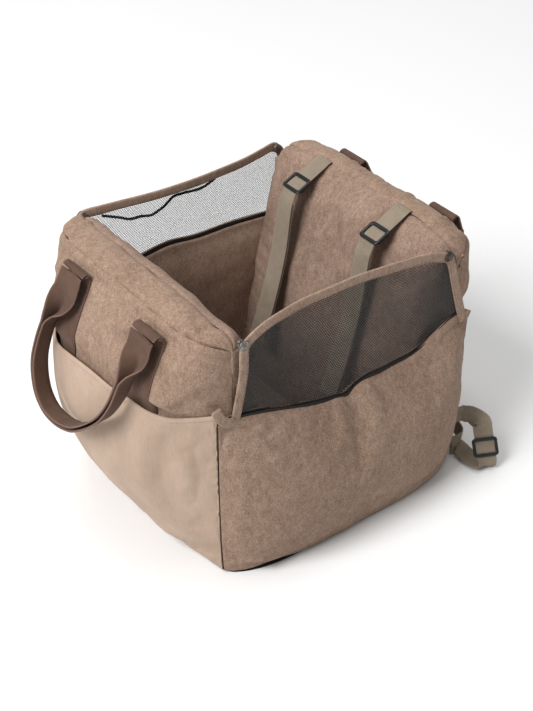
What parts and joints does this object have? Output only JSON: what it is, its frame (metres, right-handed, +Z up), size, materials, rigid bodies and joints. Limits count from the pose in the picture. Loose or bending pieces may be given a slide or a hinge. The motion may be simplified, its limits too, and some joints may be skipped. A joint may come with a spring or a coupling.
{
  "type": "pet carrier bag",
  "caption": "Open-topped soft pet carrier with padded walls, pockets, fold-down mesh side windows, two carrying handles and straps that hang it in a car.",
  "frame": {"origin": "centre of the underside, in the plane it stands on", "axes": "+Z up; -X is the front handle wall and +X the back handle wall with the hanging straps; the mesh windows face -Y (left) and +Y (right)"},
  "size_m": [0.5443, 0.431, 0.346],
  "materials": {
    "suede": "brushed faux suede, warm taupe",
    "suede_lining": "brushed faux suede, a little darker",
    "canvas": "fine plain-woven pocket cloth, light taupe",
    "dark_webbing": "ribbed webbing, dark brown",
    "khaki_webbing": "smooth narrow webbing, khaki",
    "mesh": "open knitted mesh, black",
    "black_tape": "woven tape, black",
    "non_slip": "dotted non-slip sheet, black",
    "board": "plain stiffening board",
    "foam": "fibre wadding",
    "black_plastic": "satin moulded plastic",
    "snap_metal": "antique dark snap metal"
  },
  "bodies": {
    "carrier": {"non_slip_sheet": "non_slip", "base_board": "board", "floor_pad": "suede_lining", "front_wall_core": "foam", "front_outer_cover": "suede", "front_top_band": "suede", "front_inner_cover": "suede_lining", "front_left_gusset": "suede", "front_right_gusset": "suede", "front_pocket": "canvas", "front_left_handle_strip": "dark_webbing", "front_right_handle_strip": "dark_webbing", "back_wall_core": "foam", "back_outer_cover": "suede", "back_top_band": "suede", "back_inner_cover": "suede_lining", "back_left_gusset": "suede", "back_right_gusset": "suede", "back_pocket": "canvas", "back_left_handle_strip": "dark_webbing", "back_right_handle_strip": "dark_webbing", "left_side_panel": "suede", "left_inner_lining": "suede_lining", "left_front_snap_stud": "snap_metal", "left_back_snap_stud": "snap_metal", "right_side_panel": "suede", "right_inner_lining": "suede_lining", "right_front_snap_stud": "snap_metal", "right_back_snap_stud": "snap_metal", "seat_belt_webbing": "khaki_webbing"},
    "front_handle": {"front_handle": "dark_webbing"},
    "back_handle": {"back_handle": "dark_webbing"},
    "left_window": {"left_window_binding": "suede", "left_seam_tape": "black_tape", "left_mesh_window": "mesh", "left_front_snap_socket": "snap_metal", "left_front_snap_cap": "snap_metal", "left_back_snap_socket": "snap_metal", "left_back_snap_cap": "snap_metal"},
    "left_strap": {"left_strap_top": "khaki_webbing", "left_strap_loop": "khaki_webbing"},
    "left_slider": {"left_strap_slider": "black_plastic"},
    "right_window": {"right_window_binding": "suede", "right_seam_tape": "black_tape", "right_mesh_window": "mesh", "right_front_snap_socket": "snap_metal", "right_front_snap_cap": "snap_metal", "right_back_snap_socket": "snap_metal", "right_back_snap_cap": "snap_metal"},
    "right_strap": {"right_strap_top": "khaki_webbing", "right_strap_loop": "khaki_webbing"},
    "right_slider": {"right_strap_slider": "black_plastic"},
    "belt_loop": {"belt_loop_webbing": "khaki_webbing"},
    "belt_loop_slider": {"belt_slider": "black_plastic"}
  },
  "joints": [
    {"name": "front_handle_swing", "type": "hinge", "parent": "carrier", "child": "front_handle", "pos_m": [-0.222, 0, 0.314], "axis": [0, 1, 0], "range_deg": [0, 145]},
    {"name": "back_handle_swing", "type": "hinge", "parent": "carrier", "child": "back_handle", "pos_m": [0.2185, 0, 0.312], "axis": [0, -1, 0], "range_deg": [0, 155]},
    {"name": "left_window_fold", "type": "hinge", "parent": "carrier", "child": "left_window", "pos_m": [0, -0.1648, 0.2223], "axis": [1, 0, 0], "range_deg": [0, 125]},
    {"name": "right_window_fold", "type": "hinge", "parent": "carrier", "child": "right_window", "pos_m": [0, 0.1648, 0.2223], "axis": [-1, 0, 0], "range_deg": [0, 125]},
    {"name": "left_strap_swing", "type": "hinge", "parent": "carrier", "child": "left_strap", "pos_m": [0.156, -0.075, 0.3386], "axis": [0, 1, 0], "range_deg": [0, 120]},
    {"name": "left_slider_travel", "type": "slide", "parent": "left_strap", "child": "left_slider", "axis": [0.8999, 0, 0.436], "range_m": [0, 0.014]},
    {"name": "right_strap_swing", "type": "hinge", "parent": "carrier", "child": "right_strap", "pos_m": [0.156, 0.075, 0.3386], "axis": [0, 1, 0], "range_deg": [0, 120]},
    {"name": "right_slider_travel", "type": "slide", "parent": "right_strap", "child": "right_slider", "axis": [0.8999, 0, 0.436], "range_m": [0, 0.014]},
    {"name": "belt_loop_swing", "type": "hinge", "parent": "carrier", "child": "belt_loop", "pos_m": [0.196, -0.1655, 0.04], "axis": [0, 0, 1], "range_deg": [-25, 60]},
    {"name": "belt_slider_travel", "type": "slide", "parent": "belt_loop", "child": "belt_loop_slider", "axis": [0.1494, 0.4581, 0.8763], "range_m": [0, 0.016]}
  ]
}
